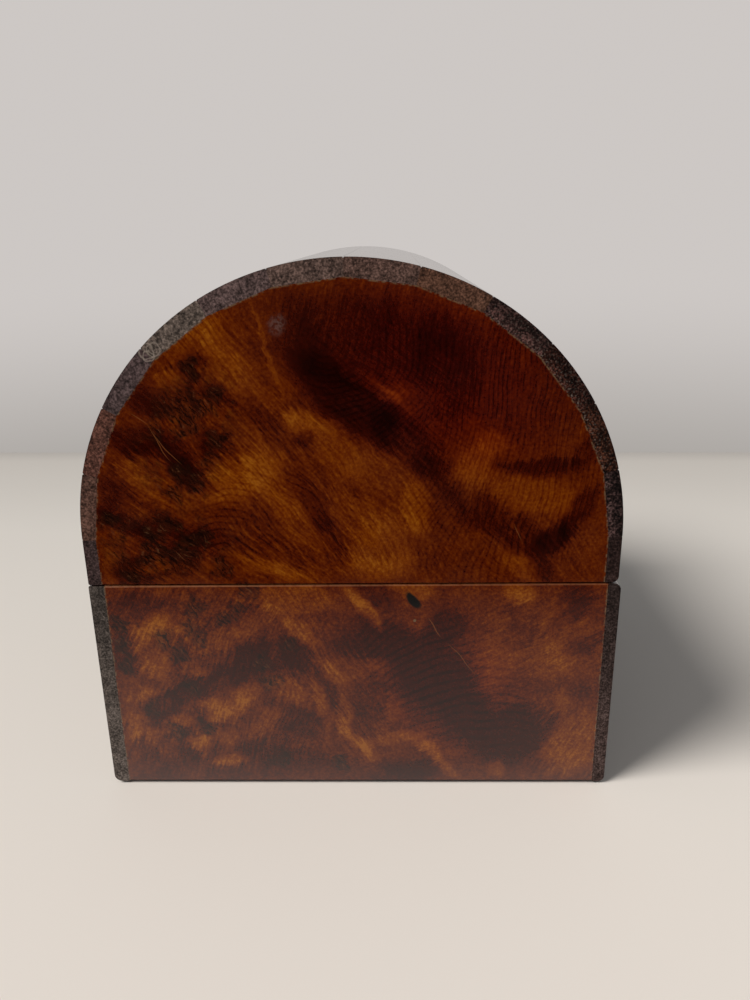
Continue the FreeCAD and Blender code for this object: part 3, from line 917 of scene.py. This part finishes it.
# %% Band tones
band_ends = {
    "base_front_board": ((0.061, 0.0494, 0.0432), 0.9),
    "base_back_board": ((0.0262, 0.0165, 0.0147), 0.5),
    "lid_front_rail": ((0.046, 0.0275, 0.0265), 0.6),
    "lid_back_rail": ((0.024, 0.0120, 0.0105), 0.7),
    "lid_slat_01": ((0.086, 0.0420, 0.0305), 0.6),
    "lid_slat_02": ((0.097, 0.0393, 0.0279), 0.6),
    "lid_slat_03": ((0.070, 0.0461, 0.0458), 0.9),
    "lid_slat_04": ((0.109, 0.0835, 0.0700), 1.0),
    "lid_slat_05": ((0.089, 0.0578, 0.0550), 0.9),
    "lid_slat_06": ((0.097, 0.0610, 0.0505), 0.6),
    "lid_slat_07": ((0.091, 0.0512, 0.0409), 0.6),
    "lid_slat_08": ((0.086, 0.0394, 0.0243), 0.6),
    "lid_slat_09": ((0.034, 0.0150, 0.0130), 1.7),
    "lid_slat_10": ((0.022, 0.0060, 0.0035), 1.8),
    "lid_slat_11": ((0.028, 0.0080, 0.0034), 1.7),
    "lid_slat_12": ((0.026, 0.0135, 0.0125), 1.1),
}
polished_stops = [(0.3, (0.012, 0.006, 0.0045)), (0.7, (0.036, 0.016, 0.010))]
scuff_colour = (0.17, 0.135, 0.115)
curl_colour = (0.30, 0.25, 0.21)
curls = [(-39.7, 106.2, 1.3), (-40.9, 104.9, 1.1), (-41.3, 106.0, 1.6)]
shaded_slats = ("lid_slat_09", "lid_slat_10", "lid_slat_11", "lid_slat_12")
shaded_towards_outside = (-2.4, -0.6, 0.75, 1.55)
even_tones = (0.24, 0.87, 2.15)
strong_tones = (0.06, 0.62, 3.6)
grain_places = (0.46, 0.60, 0.77)
lightest_lift = 0.009
foot_fade = {"base_front_board": 1.9, "base_back_board": 2.6}
foot_fade_range = (2, 54)
print("band pieces:", len(band_ends))

# %% End grain
speckle_noise = (0.48, 2.5, 0.65)
blotch_noise = (1.9, 4.0, 0.7)
dust_noise = (0.5, 3.0, 0.65)
speckle_share = 0.75
blotch_share = 0.45
dust_low = 0.66
dust_high = 0.74
scuffs_widen = 0.08
scuffs_cover = 0.9
inner_half = (-1.5, 0.0, 0.35, 1.0)
curl_tremble = (1.6, 0.7)
curl_line = (0.02, 0.22, 0.55, 0.0)


def end_grain(recipe, node, end_colour, speckle, blotch):
    """The stained end grain, in the tones of its slat or board."""
    dark, middle, light = strong_tones if node in shaded_slats else even_tones
    tones = [tuple(v * dark for v in end_colour), tuple(v * middle for v in end_colour),
             tuple(v * light + lightest_lift for v in end_colour)]
    grain = recipe.math("MULTIPLY_ADD", blotch, blotch_share, recipe.times(speckle, speckle_share))
    end = recipe.colours(grain, list(zip(grain_places, tones)))
    if node in foot_fade:
        end = recipe.toned(end, recipe.rise(recipe.z, *foot_fade_range, foot_fade[node], 1.0))
    return end


def dusty(recipe, seeded, end, inside, scuffs):
    """Pale dust in the pores, most of it along the burl."""
    pores = recipe.noise(seeded, *dust_noise)
    dust = recipe.rise(pores, dust_low - scuffs_widen * scuffs, dust_high, 0.0, scuffs_cover * scuffs)
    return recipe.mix(recipe.times(dust, recipe.rise(inside, *inner_half)), end, scuff_colour)


def curled(recipe, end):
    """Three thin rings on the near end, made to tremble so that they look scratched by hand."""
    flat = recipe.together(recipe.x, 0.0, recipe.z)
    place = recipe.vector("ADD", flat, recipe.drift(flat, *curl_tremble))
    is_near = recipe.math("LESS_THAN", recipe.y, 0.0)
    for x, z, radius in curls:
        away = recipe.vector("LENGTH", recipe.vector("SUBTRACT", place, (x, 0, z)))
        line = recipe.rise(recipe.math("ABSOLUTE", recipe.minus(away, radius)), *curl_line)
        end = recipe.mix(recipe.times(line, is_near), end, curl_colour)
    return end


# %% Band wood
is_end_facing = (0.4, 0.8)
polished_stretch = (1, 0.05, 1)
polished_noise = (1.6, 4.0, 0.6)
seed_step = Vector((7.0, 11.0, 0))
face_and_end_roughness = (0.09, 0.75)
face_and_end_shine = (0.5, 0.08)
pore_bump = (0.15, 0.8)


def band_wood(node, end_colour, scuffs, seed):
    recipe = Recipe("band " + node)
    normal = recipe.add("ShaderNodeNewGeometry", {}).outputs["Normal"]
    facing = recipe.add("ShaderNodeSeparateXYZ", {"Vector": normal}).outputs["Y"]
    is_end = recipe.rise(recipe.math("ABSOLUTE", facing), *is_end_facing)
    seeded = recipe.vector("ADD", recipe.mm, seed * seed_step)
    figure = recipe.noise(recipe.vector("MULTIPLY", seeded, polished_stretch), *polished_noise)
    polished = recipe.colours(figure, polished_stops)
    speckle = recipe.noise(seeded, *speckle_noise)
    end = end_grain(recipe, node, end_colour, speckle, recipe.noise(seeded, *blotch_noise))
    inside = edge_distance(recipe)
    if node in shaded_slats:
        end = recipe.toned(end, recipe.rise(inside, *shaded_towards_outside))
    end = curled(recipe, dusty(recipe, seeded, end, inside, scuffs))
    pores = recipe.bump(recipe.times(speckle, is_end), *pore_bump)
    return recipe.finish(base_color=recipe.mix(is_end, polished, end),
                         roughness=recipe.between(is_end, *face_and_end_roughness),
                         specular_ior_level=recipe.between(is_end, *face_and_end_shine), normal=pores)


# %% Dress the band and the ends
def dress(node, material):
    """Puts one material on a CAD node."""
    for slot in bpy.data.objects[node].material_slots:
        slot.material = material


for seed, (node, (end_colour, scuffs)) in enumerate(band_ends.items()):
    dress(node, band_wood(node, end_colour, scuffs, seed))
for place in ("near", "far"):
    dress("lid_end_" + place, lid_burl)
    dress("base_end_" + place, base_burl)
print("dressed:", len(band_ends), "band pieces and 4 end boards")

# %% [markdown]
# Plain wood
#
# The floor board and the two hinge battens are inside the box, where a maker planes the wood and leaves
# it bare. Plain wood is fine streaks along the board over broader bands. Image textures would need a
# picture for each board, while noise that is stretched along the grain gives both and fits any board. The
# streaks also set the roughness and a shallow bump, so that they catch the light.

# %% Floor board and battens
along_the_grain = (1, 0.04, 1)
streak_noise = (1.4, 4.0, 0.6)
band_noise = (9.0, 2.0)
streak_share = 0.6
band_share = 0.5
planed_roughness = (0.3, 0.7, 0.55, 0.72)
planed_bump = (0.05, 0.6)
board_stops = [(0.35, (0.22, 0.12, 0.06)), (0.75, (0.36, 0.21, 0.11))]
batten_stops = [(0.35, (0.20, 0.11, 0.055)), (0.75, (0.33, 0.19, 0.10))]


def plain_wood(name, stops):
    recipe = Recipe(name)
    along = recipe.vector("MULTIPLY", recipe.mm, along_the_grain)
    grain = recipe.noise(along, *streak_noise)
    bands = recipe.noise(along, *band_noise)
    tone = recipe.math("MULTIPLY_ADD", bands, band_share, recipe.times(grain, streak_share))
    return recipe.finish(base_color=recipe.colours(tone, stops),
                         roughness=recipe.rise(grain, *planed_roughness),
                         specular_ior_level=0.35, normal=recipe.bump(grain, *planed_bump))


dress("base_floor_board", plain_wood("floor board", board_stops))
batten_wood = plain_wood("batten", batten_stops)
dress("base_hinge_batten", batten_wood)
dress("lid_hinge_batten", batten_wood)
print("plain pieces: 3")

# %% [markdown]
# Brass
#
# The hinges, pins and screws are brass that has dulled with age: brown in the hollows and brighter where
# it is rubbed. A plain yellow metal would look like plastic, so one cloudy noise sets both the colour and
# the roughness, and the bright places are also the smooth ones. Brass has no colour of its own apart from
# its reflections, so the shader is fully metallic, and a very fine bump breaks them up.

# %% Hinges and screws
brass_stops = [(0.35, (0.16, 0.10, 0.045)), (0.55, (0.42, 0.28, 0.12)), (0.75, (0.56, 0.40, 0.18))]
tarnish_noise = (3.0, 4.0, 0.65)
tarnish_roughness = (0.3, 0.7, 0.5, 0.3)
file_noise = (0.3, 2.0)
file_bump = (0.02, 0.5)


def dulled_brass():
    recipe = Recipe("dulled brass")
    cloud = recipe.noise(recipe.mm, *tarnish_noise)
    return recipe.finish(base_color=recipe.colours(cloud, brass_stops), metallic=1.0,
                         roughness=recipe.rise(cloud, *tarnish_roughness),
                         normal=recipe.bump(recipe.noise(recipe.mm, *file_noise), *file_bump))


hinge_brass = dulled_brass()
brass_nodes = [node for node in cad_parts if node.startswith("hinge_")]
for node in brass_nodes:
    dress(node, hinge_brass)
print("brass pieces:", len(brass_nodes))

# %% [markdown]
# Cloth
#
# Three pieces of cloth belong to the box: the canvas that a tambour's slats are glued to, the felt on the
# floor and the baize that the box stands on. All three are glued down or cut to lie flat, so they have no
# folds to simulate. Each is a thin closed sheet over a grid: a function says where its middle runs, and a
# little unevenness, more for felt than for stretched canvas, keeps it from looking like card. The sheet is
# thinner along its rim, as cloth that was cut and pressed down is.

# %% Sheets of cloth
rim_share = 0.45


def cloth_sheet(name, middle, normal, steps, thickness, unevenness, lump):
    """A closed sheet: middle(u, v) and normal(u, v) give its centre surface in mm, u and v from 0 to 1."""
    across, along = steps
    build = bmesh.new()
    layers = {1: [], -1: []}
    for side, rows in layers.items():
        for i in range(across + 1):
            row = []
            for j in range(along + 1):
                point, out = middle(i / across, j / along), normal(i / across, j / along)
                at_rim = i in (0, across) or j in (0, along)
                half = thickness / 2 * (rim_share if at_rim else 1.0)
                rough = unevenness * noise.noise(point / lump) if side == 1 and not at_rim else 0.0
                row.append(build.verts.new((point + out * (side * half + rough)) * MM))
            rows.append(row)
    upper, lower = layers[1], layers[-1]
    for i in range(across):
        for j in range(along):
            build.faces.new((upper[i][j], upper[i + 1][j], upper[i + 1][j + 1], upper[i][j + 1]))
            build.faces.new((lower[i][j], lower[i][j + 1], lower[i + 1][j + 1], lower[i + 1][j]))
    rim = [(i, 0) for i in range(across)] + [(across, j) for j in range(along)]
    rim += [(i, along) for i in range(across, 0, -1)] + [(0, j) for j in range(along, 0, -1)]
    for (i, j), (k, m) in zip(rim, rim[1:] + rim[:1]):
        build.faces.new((upper[i][j], lower[i][j], lower[k][m], upper[k][m]))
    bmesh.ops.recalc_face_normals(build, faces=build.faces)
    mesh = bpy.data.meshes.new(name)
    build.to_mesh(mesh)
    build.free()
    mesh.shade_smooth()
    piece = bpy.data.objects.new(name, mesh)
    bpy.context.collection.objects.link(piece)
    return piece


def lay_in(piece, body, node, material):
    """Dresses a sheet, lets it ride on its body and puts it in the place of its CAD node."""
    piece.data.materials.append(material)
    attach(piece, body)
    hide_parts(node)


def flat_cloth(name, node, lift, unevenness, lump, steps):
    """Cloth that lies in the box of its CAD node, lifted clear of what it lies on, and its flat size."""
    low, high = (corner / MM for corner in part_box(node))
    thickness = high.z - low.z - 2 * lift - unevenness
    height = low.z + lift + thickness / 2

    def middle(u, v):
        return Vector((low.x + (high.x - low.x) * u, low.y + (high.y - low.y) * v, height))

    piece = cloth_sheet(name, middle, lambda u, v: Vector((0, 0, 1)), steps, thickness, unevenness, lump)
    size = ((high.x - low.x) * MM, (high.y - low.y) * MM)
    print(name, "is cut to, mm:", [round(v / MM, 1) for v in size])
    return piece, size


# %% [markdown]
# Felt and baize
#
# Felt is pressed from loose fibres and baize is a thin felted weave, so neither has threads that show.
# Rough noise at the size of the fluff gives colour, roughness and bump together, a slow noise adds worn
# places, and sheen gives the soft light edge that such cloth has when seen at a low angle.

# %% Felt and baize
fluff_detail = (4.0, 0.7)
wear_noise = (18.0, 3.0)
fluff_share = 0.55
wear_share = 0.45
fluff_roughness = (0.3, 0.7, 0.98, 0.86)
fluff_bump = (0.25, 0.9)


def felted(name, dark, light, fibre):
    recipe = Recipe(name)
    fluff = recipe.noise(recipe.mm, fibre, *fluff_detail)
    wear = recipe.noise(recipe.mm, *wear_noise)
    tone = recipe.math("MULTIPLY_ADD", wear, wear_share, recipe.times(fluff, fluff_share))
    return recipe.finish(base_color=recipe.colours(tone, [(0.35, dark), (0.68, light)]),
                         roughness=recipe.rise(fluff, *fluff_roughness), specular_ior_level=0.2,
                         sheen_weight=0.35, sheen_roughness=0.5, normal=recipe.bump(fluff, *fluff_bump))


felt = felted("red felt", (0.075, 0.010, 0.012), (0.17, 0.028, 0.030), fibre=0.7)
baize = felted("dark baize", (0.010, 0.014, 0.010), (0.028, 0.036, 0.026), fibre=0.5)
lining, lining_size = flat_cloth("floor_felt", "base_floor_lining", lift=0.03, unevenness=0.30, lump=7.0,
                                 steps=(56, 56))
lay_in(lining, "base", "base_floor_lining", felt)
foot, foot_size = flat_cloth("foot_baize", "base_foot_baize", lift=0.02, unevenness=0.0, lump=6.0,
                             steps=(24, 24))
lay_in(foot, "base", "base_foot_baize", baize)

# %% [markdown]
# Canvas under the slats
#
# The canvas is glued to the flat backs of the slats, so it runs straight over each slat and turns at each
# joint. Its path is worked out from the same corner points as the slats' backs. It is woven of coarse
# threads, and the weave is laid along the path and along the slats so that it doesn't stretch at the
# turns. Two sines, one for each way of the threads, say where warp or weft lies on top, and each thread
# is painted darker towards its edges, where it dips: painted shade.

# %% Canvas
canvas_thickness = 0.5
canvas_gap = 0.04
canvas_reach = 52.6
canvas_steps = (slat_count * 6, 40)


def back_point(index):
    """Where the backs of two slats meet, from the front (0) over to the back (12)."""
    angle = math.pi * (1 - index / slat_count)
    radius = arch_radius - shell_thickness - crown_extra * math.sin(angle)
    return arch_centre + radius * Vector((math.cos(angle), 0, math.sin(angle)))


def slat_under(u):
    """The slat that the canvas covers at u, and how far across it u is."""
    place = min(u * slat_count, slat_count - 1e-6)
    return int(place), place - int(place)


def canvas_normal(u, v):
    index, _ = slat_under(u)
    run = back_point(index + 1) - back_point(index)
    return Vector((run.z, 0, -run.x)).normalized()


def canvas_middle(u, v):
    index, share = slat_under(u)
    point = back_point(index).lerp(back_point(index + 1), share)
    sink = (canvas_gap + canvas_thickness / 2) / math.cos(slat_angle / 2)
    point = point + (arch_centre - point).normalized() * sink
    return Vector((point.x, canvas_reach * (2 * v - 1), point.z))


# %% Weave
thread_gap = 0.9
slub_noise = (1.2, 3.0)
slub_stretch = (1, 0.1, 1)
wander_noise = (5.0, 2.0)
warp_wander = 1.4
weft_wander = 1.1
crossing = (-0.05, 0.05)
thread_shade_share = 0.35
slub_share = 0.6
thread_roughness = (0, 1, 0.95, 0.82)
thread_bump = (0.18, 0.8)
canvas_stops = [(0.15, (0.16, 0.115, 0.065)), (0.45, (0.36, 0.285, 0.185)), (0.75, (0.50, 0.42, 0.30))]


def woven_canvas():
    recipe = Recipe("woven canvas")
    up = recipe.minus(recipe.z, arch_centre.z)
    angle = recipe.math("ARCTAN2", up, recipe.minus(recipe.x, arch_centre.x))
    along = recipe.times(angle, arch_radius * math.pi / thread_gap)
    across = recipe.times(recipe.y, math.pi / thread_gap)
    wander = recipe.noise(recipe.mm, *wander_noise)
    warp = recipe.math("SINE", recipe.math("MULTIPLY_ADD", wander, warp_wander, along))
    weft = recipe.math("SINE", recipe.math("MULTIPLY_ADD", wander, weft_wander, across))
    over = recipe.rise(recipe.times(warp, weft), *crossing)
    height = recipe.between(over, recipe.math("ABSOLUTE", warp), recipe.math("ABSOLUTE", weft))
    slub = recipe.noise(recipe.vector("MULTIPLY", recipe.mm, slub_stretch), *slub_noise)
    # painted shade: each thread darker towards its edges
    tone = recipe.math("MULTIPLY_ADD", height, thread_shade_share, recipe.times(slub, slub_share))
    return recipe.finish(base_color=recipe.colours(tone, canvas_stops),
                         roughness=recipe.rise(height, *thread_roughness), specular_ior_level=0.2,
                         sheen_weight=0.1, normal=recipe.bump(height, *thread_bump))


canvas = cloth_sheet("slat_canvas", canvas_middle, canvas_normal, canvas_steps, canvas_thickness,
                     unevenness=0.0, lump=4.0)
lay_in(canvas, "lid", "lid_canvas_backing", woven_canvas())
canvas_path = [canvas_middle(i / slat_count, 0) for i in range(slat_count + 1)]
